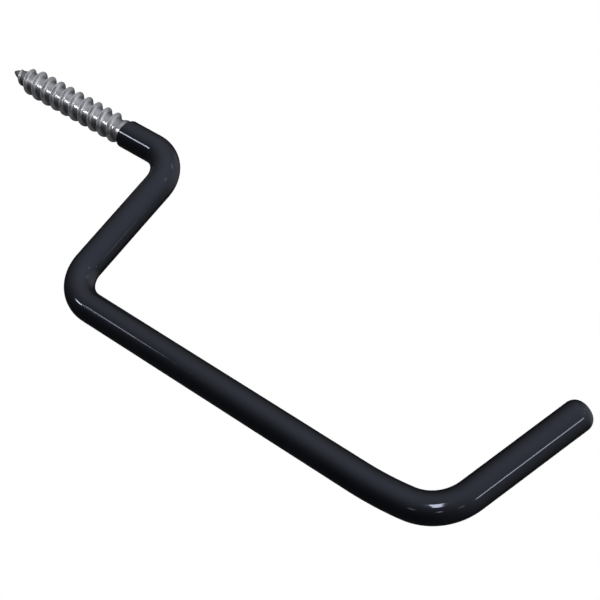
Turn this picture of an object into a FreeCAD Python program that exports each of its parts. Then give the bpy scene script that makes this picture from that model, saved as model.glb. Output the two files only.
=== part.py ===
import FreeCAD, Part
import math
import os
import Sketcher

# A screw-in storage hook: one round steel rod with a rolled wood-screw thread, bent down, out and up,
# and dipped in vinyl from the end of the thread to the tip.
# Frame: the origin is on the screw's axis in the plane of the wall, +X points out of the wall, +Z up.

V = FreeCAD.Vector
doc = FreeCAD.newDocument("screw_in_hook")

# Driving dimensions, in mm and degrees.
driving = {
    "rodDiameter": 8.4,
    "coatThickness": 0.8,
    "coatTipThickness": 1.6,  # the last of the dip gathers over the sheared end
    "coatTipRounding": 3.8,
    "coatEdgeRounding": 0.45,
    "threadDiameter": 10.0,
    "threadCoreDiameter": 7.0,
    "threadPitch": 4.5,
    "threadTurns": 9,  # whole turns at full diameter
    "threadCrest": 0.4,
    "threadFlankAngle": 30.0,
    "threadFin": 1.4,  # width of the tooth at its root inside the core
    "threadFinRoot": 0.5,
    "threadStart": 2.8,  # wall plane to the middle of the first turn
    "gimletLength": 10.7,
    "gimletThreadLength": 9.2,
    "gimletTipDiameter": 0.6,
    "gimletCrestDiameter": 2.0,  # over the thread at the very point
    "collarLength": 1.2,  # plain rod between coat and thread
    "collarTaper": 1.8,
    "shankRun": 12.9,
    "wallBendRadius": 11.2,
    "wallBendAngle": 90.0,
    "dropRun": 35.0,
    "armBendRadius": 11.6,
    "armBendAngle": 90.0,
    "armRun": 105.9,
    "springBackRadius": 113.0,  # the slow curve that leads the arm into its last bend
    "springBackAngle": 8.7,
    "tipBendRadius": 17.0,
    "tipBendAngle": 64.0,
    "tipRun": 40.0,
}
sheet = doc.addObject("Spreadsheet::Sheet", "dims")
for row, (alias, number) in enumerate(driving.items(), start=1):
    sheet.set(f"A{row}", alias)
    sheet.set(f"B{row}", str(number))
    sheet.setAlias(f"B{row}", alias)
doc.recompute()

coat_radius = "(dims.rodDiameter / 2 + dims.coatThickness)"
core_radius = "dims.threadCoreDiameter / 2"
crest_radius = "dims.threadDiameter / 2"
gimlet_start = "(dims.threadStart + dims.threadTurns * dims.threadPitch)"
screw_length = gimlet_start + " + dims.gimletLength"


def value(expression):
    return float(sheet.evalExpression(expression))


def new_body(name):
    body = doc.addObject("PartDesign::Body", name)
    body.Label = name
    return body


def new_sketch(body, name, role):
    sketch = body.newObject("Sketcher::SketchObject", name)
    plane = next(f for f in body.Origin.OriginFeatures if f.Role == role)
    sketch.AttachmentSupport = [(plane, "")]
    sketch.MapMode = "FlatFace"
    return sketch


def join(sketch, *definition):
    sketch.addConstraint(Sketcher.Constraint(*definition))


def constrain(sketch, *definition, by):
    """Adds a constraint whose size follows an expression on the sheet."""
    index = sketch.addConstraint(Sketcher.Constraint(*definition, value(by)))
    sketch.setExpression(f"Constraints[{index}]", by)


def constrain_sweep(sketch, arc, alias):
    """Holds the angle that an arc turns through."""
    angle = math.radians(value("dims." + alias))
    index = sketch.addConstraint(Sketcher.Constraint("Angle", arc, angle))
    sketch.setExpression(f"Constraints[{index}]", f"dims.{alias} * 1 deg")


def rod_path(body, name, first_run, last_run):
    """The rod's centreline in the plane of the hook: straight runs and tangent arcs, from the left."""
    runs = [
        ("line", first_run),
        ("arc", "wallBend", -1),
        ("line", "dims.dropRun"),
        ("arc", "armBend", 1),
        ("line", "dims.armRun"),
        ("arc", "springBack", 1),
        ("arc", "tipBend", 1),
        ("line", last_run),
    ]
    sketch = new_sketch(body, name, "XZ_Plane")
    behind = value(first_run) - value("dims.shankRun")
    at = V(-behind, 0, 0)
    heading = 0.0
    ends = []
    for kind, what, *turn in runs:
        ahead = V(math.cos(heading), math.sin(heading), 0)
        if kind == "line":
            piece = sketch.addGeometry(Part.LineSegment(at, at + ahead * value(what)), False)
            constrain(sketch, "Distance", piece, by=what)
            ends.append((piece, 1, 2))
            at = at + ahead * value(what)
        else:
            side = turn[0]
            radius = value(f"dims.{what}Radius")
            sweep = side * math.radians(value(f"dims.{what}Angle"))
            inward = V(-ahead.y, ahead.x, 0) * side
            centre = at + inward * radius
            start = math.atan2(-inward.y, -inward.x)
            low, high = sorted((start, start + sweep))
            circle = Part.Circle(centre, V(0, 0, 1), radius)
            piece = sketch.addGeometry(Part.ArcOfCircle(circle, low, high), False)
            constrain(sketch, "Radius", piece, by=f"dims.{what}Radius")
            constrain_sweep(sketch, piece, f"{what}Angle")
            ends.append((piece, 1, 2) if side > 0 else (piece, 2, 1))
            at = centre + V(math.cos(start + sweep), math.sin(start + sweep), 0) * radius
            heading += sweep
    for (piece, _, end), (following, start, _) in zip(ends, ends[1:]):
        join(sketch, "Tangent", piece, end, following, start)
    join(sketch, "Horizontal", 0)
    join(sketch, "PointOnObject", 0, 1, -1)
    if behind > 0:
        constrain(sketch, "DistanceX", 0, 1, -1, 1, by="dims.collarLength")
    else:
        join(sketch, "PointOnObject", 0, 1, -2)
    return sketch


def round_section(body, name, radius, behind=None):
    """A circle on the screw's axis and square to it, in the wall's plane or a stated way behind it."""
    sketch = new_sketch(body, name, "YZ_Plane")
    circle = Part.Circle(V(0, 0, 0), V(0, 0, 1), value(radius))
    piece = sketch.addGeometry(circle, False)
    join(sketch, "Coincident", piece, 3, -1, 1)
    constrain(sketch, "Radius", piece, by=radius)
    if behind:
        sketch.setExpression("AttachmentOffset.Base.z", f"-({behind})")
    return sketch


def outline(body, name, corners):
    """A closed outline above the screw's axis. A corner is two expressions: how far it lies behind the
    wall's plane, and its radius, or None for a corner on the axis."""
    sketch = new_sketch(body, name, "XZ_Plane")
    points = [V(-value(behind), value(radius) if radius else 0, 0) for behind, radius in corners]
    pieces = []
    for start, end in zip(points, points[1:] + points[:1]):
        pieces.append(sketch.addGeometry(Part.LineSegment(start, end), False))
    for piece, following in zip(pieces, pieces[1:] + pieces[:1]):
        join(sketch, "Coincident", piece, 2, following, 1)
    for piece, (behind, radius) in zip(pieces, corners):
        constrain(sketch, "DistanceX", piece, 1, -1, 1, by=behind)
        if radius:
            constrain(sketch, "DistanceY", -1, 1, piece, 1, by=radius)
        else:
            join(sketch, "PointOnObject", piece, 1, -1)
    return sketch


def swept(body, name, section, path):
    pipe = body.newObject("PartDesign::AdditivePipe", name)
    pipe.Profile = section
    pipe.Spine = (path, [])
    doc.recompute()
    return pipe


def turned(body, name, kind, sketch):
    """A Revolution or Groove of an outline about the screw's axis."""
    feature = body.newObject("PartDesign::" + kind, name)
    feature.Profile = sketch
    feature.ReferenceAxis = (sketch, ["H_Axis"])
    feature.Angle = 360
    doc.recompute()
    return feature


def helical_rib(body, name, sketch, height):
    """Winds a section along the screw's axis towards the point, right-handed."""
    rib = body.newObject("PartDesign::AdditiveHelix", name)
    rib.Profile = sketch
    rib.ReferenceAxis = (sketch, ["H_Axis"])
    rib.Mode = "pitch-height-angle"
    rib.HasBeenEdited = True
    rib.setExpression("Pitch", "dims.threadPitch")
    rib.setExpression("Height", height)
    rib.Reversed = True
    doc.recompute()
    return rib


def steel_hook():
    body = new_body("steel_hook")
    path = rod_path(body, "rod_path", "dims.collarLength + dims.shankRun", "dims.tipRun")
    section = round_section(body, "rod_section", "dims.rodDiameter / 2", "dims.collarLength")
    swept(body, "bent_rod", section, path)

    core = outline(body, "screw_core_outline", [
        ("dims.collarLength", None),
        ("dims.collarLength", "dims.rodDiameter / 2"),
        ("dims.collarLength + dims.collarTaper", core_radius),
        (gimlet_start, core_radius),
        (screw_length, "dims.gimletTipDiameter / 2"),
        (screw_length, None),
    ])
    turned(body, "screw_core", "Revolution", core)

    # The tooth's section narrows above the core to its crest and below the core to a thin fin, which
    # carries the thread down the taper of the gimlet point.
    middle = "dims.threadStart"
    flank = f"(({crest_radius} - {core_radius}) * tan(dims.threadFlankAngle * 1 deg))"
    half_root = f"(dims.threadCrest / 2 + {flank})"
    tooth = outline(body, "thread_outline", [
        (f"{middle} - dims.threadFin / 2", "dims.threadFinRoot"),
        (f"{middle} - {half_root}", core_radius),
        (f"{middle} - dims.threadCrest / 2", crest_radius),
        (f"{middle} + dims.threadCrest / 2", crest_radius),
        (f"{middle} + {half_root}", core_radius),
        (f"{middle} + dims.threadFin / 2", "dims.threadFinRoot"),
    ])
    helical_rib(body, "thread", tooth, "dims.threadTurns * dims.threadPitch + dims.gimletThreadLength")

    waste = outline(body, "gimlet_waste_outline", [
        (gimlet_start, crest_radius),
        (screw_length, "dims.gimletCrestDiameter / 2"),
        (f"{screw_length} + dims.threadPitch", "dims.gimletCrestDiameter / 2"),
        (f"{screw_length} + dims.threadPitch", "dims.threadDiameter"),
        (gimlet_start, "dims.threadDiameter"),
    ])
    turned(body, "gimlet_point", "Groove", waste)
    return body


def end_edge(shape, near):
    """The name of the round edge whose centre is nearest to a point."""
    rims = [
        (edge.Curve.Center.distanceToPoint(near), f"Edge{number}")
        for number, edge in enumerate(shape.Edges, start=1)
        if isinstance(edge.Curve, Part.Circle) and edge.isClosed()
    ]
    return min(rims)[1]


def rounded(body, name, base, near, alias):
    """Rounds the rim of the coat whose centre is nearest to a point."""
    fillet = body.newObject("PartDesign::Fillet", name)
    fillet.Base = (base, [end_edge(base.Shape, near)])
    fillet.setExpression("Radius", "dims." + alias)
    doc.recompute()
    return fillet


def vinyl_coating(rod):
    """The dip: a tube over the bent rod, closed over its tip, with the rod's own shape as its inside."""
    body = new_body("coat_outside")
    path = rod_path(body, "coat_path", "dims.shankRun", "dims.tipRun + dims.coatTipThickness")
    section = round_section(body, "coat_section", coat_radius)
    outside = swept(body, "coat_sweep", section, path)
    tip = path.Shape.Vertexes[-1].Point
    edge = rounded(body, "coat_edge", outside, V(0, 0, 0), "coatEdgeRounding")
    rounded(body, "coat_tip", edge, tip, "coatTipRounding")

    coat = doc.addObject("Part::Cut", "vinyl_coating")
    coat.Label = "vinyl_coating"
    coat.Base = body
    coat.Tool = rod
    doc.recompute()
    return coat


rod = steel_hook()
nodes = [rod, vinyl_coating(rod)]

doc.recompute()
for item in doc.Objects:
    if {"Invalid", "Error"} & set(item.State):
        raise RuntimeError(f"{item.Label} didn't compute: {item.State}")
for node in nodes:
    if node.Shape.isNull() or not node.Shape.isValid() or len(node.Shape.Solids) != 1:
        raise RuntimeError(f"{node.Label} isn't one valid solid")

os.makedirs("parts", exist_ok=True)
for node in nodes:
    node.Shape.exportStep(f"parts/{node.Label}.step")
    print(node.Label, f"{node.Shape.Volume:.0f} mm3")
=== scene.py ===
import math
import bmesh
import bpy
from mathutils import Matrix, Quaternion, Vector, noise


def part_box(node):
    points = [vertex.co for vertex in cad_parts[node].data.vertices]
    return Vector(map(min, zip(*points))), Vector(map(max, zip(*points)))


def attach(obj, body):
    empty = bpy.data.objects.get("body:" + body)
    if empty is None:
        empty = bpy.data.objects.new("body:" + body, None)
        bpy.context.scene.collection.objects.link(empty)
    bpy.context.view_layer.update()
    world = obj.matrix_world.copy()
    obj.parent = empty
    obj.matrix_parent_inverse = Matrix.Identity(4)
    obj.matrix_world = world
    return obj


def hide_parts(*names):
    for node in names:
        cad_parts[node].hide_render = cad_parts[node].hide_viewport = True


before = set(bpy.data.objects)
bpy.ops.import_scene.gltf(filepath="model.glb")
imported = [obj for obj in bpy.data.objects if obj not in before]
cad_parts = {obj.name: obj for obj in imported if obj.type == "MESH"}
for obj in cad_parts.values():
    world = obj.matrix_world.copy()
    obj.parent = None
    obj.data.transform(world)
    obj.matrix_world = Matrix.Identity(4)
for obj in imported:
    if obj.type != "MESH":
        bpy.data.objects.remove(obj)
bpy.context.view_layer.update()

mm = 0.001
weldDistance = 0.01 * mm
cutDistance = 0.001 * mm
hiddenGrain = {"bend": 1.2 * mm, "straight": 6 * mm}  # spacing of rings where the coat hides them
rodLow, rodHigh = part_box("steel_hook")
coatLow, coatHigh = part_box("vinyl_coating")
scene = bpy.context.scene
print("frame loaded:", ", ".join(sorted(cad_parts)))

# The hook lies in the XZ plane, with the screw on the X axis and the coat starting at the origin.
# Lengths are in metres, turns in degrees, and an upward turn is positive.
hook = {
    "rodRadius": 4.2 * mm,
    "shank": 12.9 * mm,
    "wallBend": (11.2 * mm, -90),
    "armBend": (11.6 * mm, 90),
    "arm": 105.9 * mm,
    "springBack": (113 * mm, 8.7),
    "tipBend": (17 * mm, 64),
    "tip": 40 * mm,
}
# the drop is what is left between the screw's line and the arm's, which the coat's lowest point gives
armLevel = -coatLow.z - coatHigh.y
hook["drop"] = armLevel - hook["wallBend"][0] - hook["armBend"][0]


def smoothStep(start, end, x):
    t = min(1.0, max(0.0, (x - start) / (end - start)))
    return t * t * (3 - 2 * t)


def ringEdges(geom):
    return [item for item in geom if isinstance(item, bmesh.types.BMEdge)]


def ringVerts(geom):
    return [item for item in geom if isinstance(item, bmesh.types.BMVert)]


def hookLegs(start, tipChange):
    # straight legs are lengths, bends are (radius, turn)
    return [
        hook["shank"] - start,
        hook["wallBend"],
        hook["drop"],
        hook["armBend"],
        hook["arm"],
        hook["springBack"],
        hook["tipBend"],
        hook["tip"] + tipChange,
    ]


def carryRing(bm, ring, start, legs, grain):
    # pulls a ring of edges along the legs and returns the last ring, its centre and its heading
    spot = Vector((start, 0, 0))
    heading = 0.0
    for leg in legs:
        if isinstance(leg, tuple):
            radius, turn = leg[0], math.radians(leg[1])
            across = Vector((-math.sin(heading), 0, math.cos(heading)))
            centre = spot + across * math.copysign(radius, turn)
            steps = max(6, round(abs(turn) * radius / grain["bend"]))
            ring = bmesh.ops.spin(
                bm, geom=ring, cent=centre, axis=(0, -1, 0), dvec=(0, 0, 0),
                angle=turn, steps=steps, use_merge=False)["geom_last"]
            spot = centre + Matrix.Rotation(-turn, 3, "Y") @ (spot - centre)
            heading += turn
        else:
            along = Vector((math.cos(heading), 0, math.sin(heading)))
            steps = max(1, round(leg / grain["straight"]))
            ring = bmesh.ops.spin(
                bm, geom=ring, cent=spot, axis=(0, -1, 0), dvec=along * leg / steps,
                angle=0, steps=steps, use_merge=False)["geom_last"]
            spot = spot + along * leg
    return ring, spot, heading


def growRing(bm, ring, spot, move, scale):
    # one more ring, moved along and scaled about its centre
    made = bmesh.ops.extrude_edge_only(bm, edges=ringEdges(ring))["geom"]
    verts = ringVerts(made)
    bmesh.ops.scale(bm, vec=(scale, scale, scale), space=Matrix.Translation(-spot), verts=verts)
    bmesh.ops.translate(bm, vec=move, verts=verts)
    return made, spot + move


def finishPiece(name, bm, material, node):
    bmesh.ops.recalc_face_normals(bm, faces=bm.faces)
    mesh = bpy.data.meshes.new(name)
    bm.to_mesh(mesh)
    bm.free()
    mesh.shade_smooth()
    mesh.materials.append(material)
    piece = bpy.data.objects.new(name, mesh)
    scene.collection.objects.link(piece)
    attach(piece, "root")
    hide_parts(node)
    print("piece", name, len(mesh.vertices), "vertices")


def addNode(tree, kind, **sockets):
    node = tree.nodes.new(kind)
    for socket, value in sockets.items():
        node.inputs[socket].default_value = value
    return node


def startMaterial(name):
    material = bpy.data.materials.new(name)
    material.use_nodes = True
    tree = material.node_tree
    shader = tree.nodes["Principled BSDF"]
    place = tree.nodes.new("ShaderNodeTexCoord").outputs["Object"]
    return material, tree, shader, place


def cloudNoise(tree, place, scale, detail, rough=0.5):
    # scale is the size of a patch, in metres
    cloud = tree.nodes.new("ShaderNodeTexNoise")
    cloud.inputs["Scale"].default_value = 1 / scale
    cloud.inputs["Detail"].default_value = detail
    cloud.inputs["Roughness"].default_value = rough
    tree.links.new(place, cloud.inputs["Vector"])
    return cloud.outputs["Fac"]


def spread(tree, value, low, high, toLow, toHigh):
    # a noise value or a distance, stretched from one range to another
    mapRange = tree.nodes.new("ShaderNodeMapRange")
    mapRange.inputs["From Min"].default_value = low
    mapRange.inputs["From Max"].default_value = high
    mapRange.inputs["To Min"].default_value = toLow
    mapRange.inputs["To Max"].default_value = toHigh
    tree.links.new(value, mapRange.inputs["Value"])
    return mapRange.outputs["Result"]


def mixColours(tree, amount, first, second):
    # the colour sockets of a Mix node are 6 and 7, and its colour output is 2
    mix = tree.nodes.new("ShaderNodeMix")
    mix.data_type = "RGBA"
    for socket, colour in ((6, first), (7, second)):
        if isinstance(colour, tuple):
            mix.inputs[socket].default_value = (*colour, 1)
        else:
            tree.links.new(colour, mix.inputs[socket])
    tree.links.new(amount, mix.inputs[0])
    return mix.outputs[2]


def addBump(tree, height, distance, normal=None):
    bump = addNode(tree, "ShaderNodeBump", Distance=distance, Strength=1.0)
    tree.links.new(height, bump.inputs["Height"])
    if normal:
        tree.links.new(normal, bump.inputs["Normal"])
    return bump.outputs["Normal"]


vinyl = {
    "dark": (0.002, 0.0024, 0.003),
    "light": (0.0035, 0.004, 0.0055),
    "glossTint": (0.74, 0.8, 1.0),
    "ior": 1.52,
    "patch": 14 * mm,
    "tintSpread": (0.35, 0.65),  # noise between these runs from dark to light
    "rubFiner": 3,  # rubbed patches are so many times smaller
    "rubSpread": (0.3, 0.7),
    "roughness": (0.06, 0.11),
    "orangePeel": 1.6 * mm,
    "orangePeelDepth": 0.004 * mm,
    "sag": 9 * mm,
    "sagDepth": 0.03 * mm,
}


def blackVinyl():
    material, tree, shader, place = startMaterial("blackVinyl")
    patches = cloudNoise(tree, place, vinyl["patch"], detail=3)
    tint = spread(tree, patches, *vinyl["tintSpread"], 0, 1)
    colour = mixColours(tree, tint, vinyl["dark"], vinyl["light"])
    tree.links.new(colour, shader.inputs["Base Color"])
    rubbed = cloudNoise(tree, place, vinyl["patch"] / vinyl["rubFiner"], detail=4)
    rough = spread(tree, rubbed, *vinyl["rubSpread"], *vinyl["roughness"])
    tree.links.new(rough, shader.inputs["Roughness"])
    sag = cloudNoise(tree, place, vinyl["sag"], detail=1)
    sagging = addBump(tree, sag, vinyl["sagDepth"])
    peel = cloudNoise(tree, place, vinyl["orangePeel"], detail=1)
    skin = addBump(tree, peel, vinyl["orangePeelDepth"], sagging)
    tree.links.new(skin, shader.inputs["Normal"])
    shader.inputs["IOR"].default_value = vinyl["ior"]
    shader.inputs["Specular Tint"].default_value = (*vinyl["glossTint"], 1)
    return material


zinc = {
    "bright": (0.62, 0.62, 0.63),
    "dull": (0.42, 0.42, 0.435),
    # painted shade: the colour the thread's groove is darkened towards, and how strongly
    "groove": (0.3, 0.3, 0.31),
    "grooveFrom": 3.5 * mm,  # distances from the screw's line between which the painted shade thins out
    "grooveTo": 4.3 * mm,
    "grooveShadeStrength": 0.25,
    "patch": 2.5 * mm,
    "patchRough": 0.6,
    "tintSpread": (0.35, 0.65),
    "roughSpread": (0.3, 0.7),
    "roughness": (0.26, 0.38),
    "rollMark": 0.7 * mm,
    "rollMarkDepth": 0.002 * mm,
}


def brightZinc():
    material, tree, shader, place = startMaterial("brightZinc")
    patches = cloudNoise(tree, place, zinc["patch"], detail=4, rough=zinc["patchRough"])
    tint = spread(tree, patches, *zinc["tintSpread"], 0, 1)
    colour = mixColours(tree, tint, zinc["dull"], zinc["bright"])
    # painted shade darkening the thread's groove: how far the surface is from the screw's line
    flat = tree.nodes.new("ShaderNodeVectorMath")
    flat.operation = "MULTIPLY"
    flat.inputs[1].default_value = (0, 1, 1)
    tree.links.new(place, flat.inputs[0])
    radius = tree.nodes.new("ShaderNodeVectorMath")
    radius.operation = "LENGTH"
    tree.links.new(flat.outputs["Vector"], radius.inputs[0])
    grooveShadeMask = spread(tree, radius.outputs["Value"], zinc["grooveFrom"], zinc["grooveTo"],
                      zinc["grooveShadeStrength"], 0)
    colour = mixColours(tree, grooveShadeMask, colour, zinc["groove"])
    tree.links.new(colour, shader.inputs["Base Color"])
    rough = spread(tree, patches, *zinc["roughSpread"], *zinc["roughness"])
    tree.links.new(rough, shader.inputs["Roughness"])
    marks = cloudNoise(tree, place, zinc["rollMark"], detail=3)
    tree.links.new(addBump(tree, marks, zinc["rollMarkDepth"]), shader.inputs["Normal"])
    shader.inputs["Metallic"].default_value = 1.0
    return material


screw = {
    "crestRadius": rodHigh.y,
    "coreRadius": 3.5 * mm,
    "pitch": 4.5 * mm,
    "firstCrest": -2.8 * mm,
    "phase": -68,  # degrees round the screw's line
    "collarEnd": -1.2 * mm,
    "collarFoot": -3.0 * mm,
    "runOutBefore": 1 * mm,  # the tooth starts to run out so far before the collar's foot
    "runOutShort": 0.4 * mm,  # and is gone so far before the collar's end
    "gimletLength": 10.7 * mm,
    "pointCore": 0.1 * mm,
    "pointCrest": 0.5 * mm,
    "pointSwell": 0.6,  # under 1 the gimlet point bulges, at 1 it is a plain cone
    "pointRound": 0.2 * mm,
    "pointRings": [(0.12 * mm, 0.75), (0.08 * mm, 0.3)],  # (step towards the point, scale)
    "toothStart": 7 * mm,  # the tooth grows to its full height over this length
    "steps": 64,
    # half a tooth, from groove to crest: (share of the pitch, share of the tooth's height)
    "tooth": [(0.5, 0), (0.28, 0), (0.19, 0.02), (0.135, 0.1), (0.09, 0.3),
              (0.056, 0.6), (0.028, 0.87), (0.012, 0.97), (0, 1)],
}


def pointTaper(x):
    # 0 at the tip of the screw, 1 where its gimlet point ends
    along = min(1.0, max(0.0, (x - rodLow.x) / screw["gimletLength"]))
    return along ** screw["pointSwell"]


def coreAt(x):
    rise = smoothStep(screw["collarFoot"], screw["collarEnd"], x)
    core = screw["pointCore"] + (screw["coreRadius"] - screw["pointCore"]) * pointTaper(x)
    return core + (hook["rodRadius"] - screw["coreRadius"]) * rise


def toothAt(x):
    crest = screw["pointCrest"] + (screw["crestRadius"] - screw["pointCrest"]) * pointTaper(x)
    runOut = 1 - smoothStep(screw["collarFoot"] - screw["runOutBefore"],
                            screw["collarEnd"] - screw["runOutShort"], x)
    return (crest - coreAt(x)) * runOut * smoothStep(rodLow.x, rodLow.x + screw["toothStart"], x)


def rolledThread(bm):
    half = screw["tooth"]
    outline = half + [(-along, height) for along, height in reversed(half[:-1])]
    fullTooth = screw["crestRadius"] - screw["coreRadius"]
    start = screw["firstCrest"] + 2 * screw["pitch"]
    verts = []
    for along, height in outline:
        x = start + along * screw["pitch"]
        verts.append(bm.verts.new((x, 0, screw["coreRadius"] + height * fullTooth)))
    edges = [bm.edges.new(pair) for pair in zip(verts, verts[1:])]
    bmesh.ops.rotate(bm, verts=verts, matrix=Matrix.Rotation(math.radians(screw["phase"]), 3, "X"))
    turns = math.ceil((start - rodLow.x) / screw["pitch"]) + 1
    bmesh.ops.spin(
        bm, geom=verts + edges, cent=(0, 0, 0), axis=(-1, 0, 0), angle=math.tau * turns,
        dvec=(-screw["pitch"] / screw["steps"], 0, 0), steps=screw["steps"] * turns, use_merge=False)
    bmesh.ops.remove_doubles(bm, verts=bm.verts, dist=weldDistance)
    for vert in bm.verts:
        radius = math.hypot(vert.co.y, vert.co.z)
        height = (radius - screw["coreRadius"]) / fullTooth
        wanted = coreAt(vert.co.x) + height * toothAt(vert.co.x)
        vert.co.y *= wanted / radius
        vert.co.z *= wanted / radius


def trimThread(bm, where, facing):
    everything = bm.verts[:] + bm.edges[:] + bm.faces[:]
    bmesh.ops.bisect_plane(bm, geom=everything, dist=cutDistance, plane_co=(where, 0, 0),
                           plane_no=(facing, 0, 0), clear_outer=True)
    return [edge for edge in bm.edges if edge.is_boundary
            and all(abs(vert.co.x - where) < weldDistance for vert in edge.verts)]


def steelScrewRod():
    bm = bmesh.new()
    rolledThread(bm)
    pointRing = trimThread(bm, rodLow.x + screw["pointRound"], -1)
    spot = Vector((rodLow.x + screw["pointRound"], 0, 0))
    for step, scale in screw["pointRings"]:
        pointRing, spot = growRing(bm, pointRing, spot, Vector((-step, 0, 0)), scale)
    bmesh.ops.pointmerge(bm, verts=ringVerts(pointRing), merge_co=spot)
    collarRing = trimThread(bm, screw["collarEnd"], 1)
    legs = hookLegs(screw["collarEnd"], 0)
    endRing = carryRing(bm, collarRing, screw["collarEnd"], legs, hiddenGrain)[0]
    bmesh.ops.edgeloop_fill(bm, edges=ringEdges(endRing))
    finishPiece("steelScrewRod", bm, brightZinc(), "steel_hook")


coat = {
    "radius": coatHigh.y,
    "bore": 4.25 * mm,
    "segments": 72,
    "grain": {"bend": 0.9 * mm, "straight": 1.2 * mm},
    "lip": 0.45 * mm,
    "lipSteps": 8,
    "pastRod": 1.6 * mm,
    "endRounding": 3.8 * mm,
    "endSteps": 10,
    "poleScale": 0.5,
    "boreSpare": 0.05 * mm,  # the bore runs on past the rod's end
    "thinning": 0.01 * mm,  # the wall end hung uppermost in the dip, so its coat is a touch thinner
    "thinTo": 0.8,  # share of the hook's reach over which the thinning fades
    "unevenness": 0.03 * mm,
    "wave": 11 * mm,
    "waveOffset": (7.1, 3.3, 1.9),  # where the wave pattern starts
    "dipLine": 0.2 * mm,
    "dipSlant": 0.9 * mm,  # the dip line runs further along on the upper side
    "dipFade": (0.5 * mm, 5 * mm),  # how far in from the wall the line's shape fades out
    "dipWander": 1.1,
    "dipLevel": 4.0,  # the slice of noise that the line follows
}


def coatLip(bm, ring, spot):
    # turns the outer wall round the dip line into the bore
    middle = (coat["radius"] + coat["bore"]) / 2
    half = (coat["radius"] - coat["bore"]) / 2
    radius = coat["radius"]
    for step in range(1, coat["lipSteps"] + 1):
        angle = math.pi * step / coat["lipSteps"]
        x = coat["lip"] * (1 - math.sin(angle))
        nextRadius = middle + half * math.cos(angle)
        ring, spot = growRing(bm, ring, spot, Vector((x - spot.x, 0, 0)), nextRadius / radius)
        radius = nextRadius
    return ring


def coatEnd(bm, ring, spot, heading):
    # the round end, closed at its pole
    along = Vector((math.cos(heading), 0, math.sin(heading)))
    radius = coat["radius"]
    reached = 0.0
    for step in range(1, coat["endSteps"] + 1):
        angle = math.pi / 2 * step / coat["endSteps"]
        depth = coat["endRounding"] * math.sin(angle)
        nextRadius = coat["radius"] - coat["endRounding"] * (1 - math.cos(angle))
        ring, spot = growRing(bm, ring, spot, along * (depth - reached), nextRadius / radius)
        radius, reached = nextRadius, depth
    ring, spot = growRing(bm, ring, spot, Vector(), coat["poleScale"])
    bmesh.ops.pointmerge(bm, verts=ringVerts(ring), merge_co=spot)


def unevenCoat(outside):
    for vert in outside:
        if vert.co.x < coat["dipFade"][1]:
            around = math.atan2(vert.co.z, vert.co.y)
            ringSpot = Vector((math.cos(around), math.sin(around), coat["dipLevel"]))
            wander = noise.noise(ringSpot * coat["dipWander"])
            fade = 1 - smoothStep(*coat["dipFade"], vert.co.x)
            slant = coat["dipSlant"] * (0.5 + 0.5 * vert.co.z / coat["radius"])
            vert.co.x += (slant + coat["dipLine"] * (0.5 + wander)) * fade
    moves = []
    for vert in outside:
        thin = coat["thinning"] * (1 - smoothStep(0, coatHigh.x * coat["thinTo"], vert.co.x))
        wave = 0.5 + 0.5 * noise.noise(vert.co / coat["wave"] + Vector(coat["waveOffset"]))
        moves.append(vert.normal * -(thin + coat["unevenness"] * wave))
    for vert, move in zip(outside, moves):
        vert.co += move


def vinylCoat():
    bm = bmesh.new()
    turned = Matrix.Translation((coat["lip"], 0, 0)) @ Matrix.Rotation(math.pi / 2, 4, "Y")
    bmesh.ops.create_circle(bm, segments=coat["segments"], radius=coat["radius"], matrix=turned)
    startRing = bm.edges[:]
    legs = hookLegs(coat["lip"], coat["pastRod"] - coat["endRounding"])
    ring, spot, heading = carryRing(bm, startRing, coat["lip"], legs, coat["grain"])
    coatEnd(bm, ring, spot, heading)
    boreRing = coatLip(bm, startRing, Vector((coat["lip"], 0, 0)))
    bmesh.ops.recalc_face_normals(bm, faces=bm.faces)
    bm.normal_update()
    outside = bm.verts[:]
    boreLegs = hookLegs(coat["lip"], coat["boreSpare"])
    boreEnd = carryRing(bm, boreRing, coat["lip"], boreLegs, hiddenGrain)[0]
    bmesh.ops.edgeloop_fill(bm, edges=ringEdges(boreEnd))
    unevenCoat(outside)
    finishPiece("vinylCoat", bm, blackVinyl(), "vinyl_coating")


steelScrewRod()
vinylCoat()


stageSettings = {
    "floorLevel": -1.6,
    "floorSize": 60,
    "floorColour": (0.3, 0.3, 0.3),
    "floorGlow": 0.62,
    "floorPatch": 0.4,
    "floorTint": 1.03,  # how much paler the pale patches are
    "floorSpread": (0.3, 0.7),
    "floorRoughness": 0.9,
    "background": 1.0,
    "roomColour": (0.92, 0.94, 1.0),
    "front": (0.388, -0.918, -0.068),
    "frontRamp": (-0.755, 1.265),  # how far towards the front the glow starts and is full
    "heightRamp": (-1.2, 0.92),
    "roomGlow": 1.36,
    "rearGlow": 0.035,
    "rear": (0.45, 0.4, 0.8),
    "rearRamp": (0.7, 1.0),
    "rearFill": 0.4,
    "lightDistance": 2.0,
}


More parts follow.
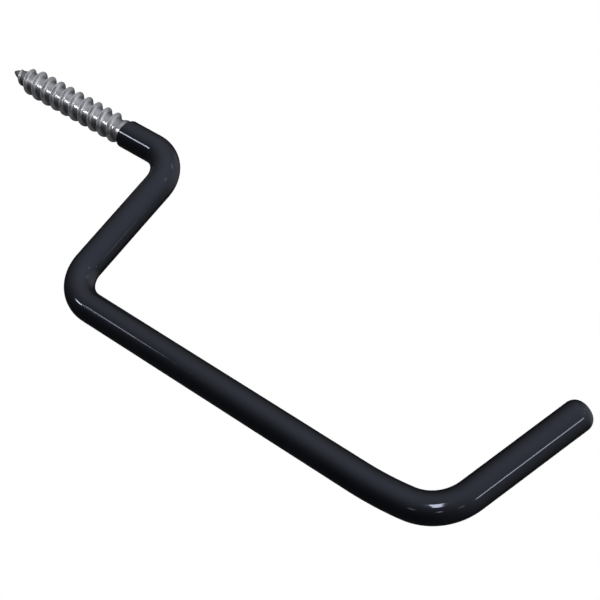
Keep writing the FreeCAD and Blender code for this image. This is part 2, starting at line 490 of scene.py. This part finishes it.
def paleFloor():
    bm = bmesh.new()
    bmesh.ops.create_grid(bm, x_segments=1, y_segments=1, size=stageSettings["floorSize"] / 2,
                          matrix=Matrix.Translation((0, 0, stageSettings["floorLevel"])))
    mesh = bpy.data.meshes.new("floor")
    bm.to_mesh(mesh)
    bm.free()
    floor = bpy.data.objects.new("floor", mesh)
    scene.collection.objects.link(floor)
    material, tree, shader, place = startMaterial("palePaper")
    cloud = cloudNoise(tree, place, stageSettings["floorPatch"], detail=2)
    tint = spread(tree, cloud, *stageSettings["floorSpread"], 0, 1)
    pale = stageSettings["floorColour"]
    paler = tuple(part * stageSettings["floorTint"] for part in pale)
    colour = mixColours(tree, tint, pale, paler)
    tree.links.new(colour, shader.inputs["Base Color"])
    shader.inputs["Roughness"].default_value = stageSettings["floorRoughness"]
    shader.inputs["Emission Color"].default_value = (1, 1, 1, 1)
    shader.inputs["Emission Strength"].default_value = stageSettings["floorGlow"]
    mesh.materials.append(material)
    # some lights stand low, so the floor neither reflects in the hook nor shades it
    floor.visible_glossy = False
    floor.visible_diffuse = False
    floor.visible_shadow = False


def softRamp(tree, value, low, high):
    ramp = tree.nodes.new("ShaderNodeMapRange")
    ramp.interpolation_type = "SMOOTHSTEP"
    ramp.inputs["From Min"].default_value = low
    ramp.inputs["From Max"].default_value = high
    tree.links.new(value, ramp.inputs["Value"])
    return ramp.outputs["Result"]


def towards(tree, direction, aim):
    # 1 in the aimed direction, -1 in the opposite one
    dot = tree.nodes.new("ShaderNodeVectorMath")
    dot.operation = "DOT_PRODUCT"
    dot.inputs[1].default_value = Vector(aim).normalized()
    tree.links.new(direction, dot.inputs[0])
    return dot.outputs["Value"]


def workOut(tree, operation, first, second):
    node = tree.nodes.new("ShaderNodeMath")
    node.operation = operation
    tree.links.new(first, node.inputs[0])
    tree.links.new(second, node.inputs[1])
    return node.outputs[0]


def studioWorld():
    world = bpy.data.worlds.new("studio")
    scene.world = world
    world.use_nodes = True
    tree = world.node_tree
    tree.nodes.clear()
    direction = tree.nodes.new("ShaderNodeTexCoord").outputs["Generated"]
    height = tree.nodes.new("ShaderNodeSeparateXYZ")
    tree.links.new(direction, height.inputs[0])
    front = towards(tree, direction, stageSettings["front"])
    fromFront = softRamp(tree, front, *stageSettings["frontRamp"])
    fromAbove = softRamp(tree, height.outputs["Z"], *stageSettings["heightRamp"])
    glow = workOut(tree, "MULTIPLY", fromFront, fromAbove)
    frontGlow = spread(tree, glow, 0, 1, stageSettings["rearGlow"], stageSettings["roomGlow"])
    rear = softRamp(tree, towards(tree, direction, stageSettings["rear"]), *stageSettings["rearRamp"])
    rearGlow = spread(tree, rear, 0, 1, 0, stageSettings["rearFill"])
    strength = workOut(tree, "ADD", frontGlow, rearGlow)
    room = addNode(tree, "ShaderNodeBackground", Color=(*stageSettings["roomColour"], 1))
    tree.links.new(strength, room.inputs["Strength"])
    paper = addNode(tree, "ShaderNodeBackground", Color=(1, 1, 1, 1),
                    Strength=stageSettings["background"])
    pick = tree.nodes.new("ShaderNodeMixShader")
    seen = tree.nodes.new("ShaderNodeLightPath").outputs["Is Camera Ray"]
    tree.links.new(seen, pick.inputs[0])
    tree.links.new(room.outputs[0], pick.inputs[1])
    tree.links.new(paper.outputs[0], pick.inputs[2])
    output = tree.nodes.new("ShaderNodeOutputWorld")
    tree.links.new(pick.outputs[0], output.inputs["Surface"])


def softLight(name, target, azimuth, elevation, size, twist, brightness):
    # azimuth from +X towards +Y and elevation, in degrees, as seen from the target
    a, e = math.radians(azimuth), math.radians(elevation)
    away = Vector((math.cos(a) * math.cos(e), math.sin(a) * math.cos(e), math.sin(e)))
    data = bpy.data.lights.new(name, "AREA")
    data.shape = "RECTANGLE"
    data.size, data.size_y = size
    data.energy = brightness * math.pi * size[0] * size[1]
    light = bpy.data.objects.new(name, data)
    light.location = Vector(target) + away * stageSettings["lightDistance"]
    facing = (-away).to_track_quat("-Z", "Y") @ Quaternion((0, 0, 1), math.radians(twist))
    light.rotation_euler = facing.to_euler()
    scene.collection.objects.link(light)


def studioLights():
    wallEnd = (30 * mm, 0, -30 * mm)
    screwHeart = (-10 * mm, 0, 0)
    armStart = (60 * mm, 0, -58 * mm)
    armBendHeart = (26 * mm, 0, -52 * mm)
    wallBendHeart = (20 * mm, 0, -4 * mm)
    tipBendHeart = (168 * mm, 0, -53 * mm)
    tipMiddle = (180 * mm, 0, -25 * mm)
    # name, what it is aimed at, azimuth, elevation, size, twist, brightness
    softLight("shankStrip", screwHeart, -133.5, -26.6, (0.34, 0.19), -22.8, 18)
    softLight("armStrip", armStart, -125, -21.9, (0.12, 0.15), -12.5, 7)
    softLight("frontBox", tipBendHeart, -88, -10, (0.2, 0.7), 42, 16)
    softLight("rightStrip", tipMiddle, -31, -1, (0.16, 0.45), 0, 10)
    softLight("cornerSpot", armBendHeart, -42, 31, (0.2, 0.2), 0, 2)
    softLight("topSpot", wallBendHeart, -38, 60, (0.6, 0.25), 0, 0.9)
    softLight("sideStrip", wallEnd, 0, 15, (0.1, 0.05), 0, 3)
    softLight("lowSpotLeft", tipBendHeart, -91, -47, (0.2, 0.2), 0, 2)
    softLight("lowSpotMiddle", tipBendHeart, -56, -38, (0.2, 0.2), 0, 3)
    softLight("lowSpotRight", tipBendHeart, -37, -22, (0.2, 0.2), 0, 1.6)


paleFloor()
studioWorld()
studioLights()

cameraSettings = {
    "place": (0.30077, -0.39687, -0.1628),
    "turn": (112.305, -37.083, 13.895),
    "lens": 92.08,
    "sensor": 36,
}
camera = bpy.data.objects.new("camera", bpy.data.cameras.new("camera"))
camera.location = cameraSettings["place"]
camera.rotation_euler = [math.radians(angle) for angle in cameraSettings["turn"]]
camera.data.lens = cameraSettings["lens"]
camera.data.sensor_width = cameraSettings["sensor"]
scene.collection.objects.link(camera)
scene.camera = camera
scene.view_settings.view_transform = "Standard"
print("stage, lights and camera set")
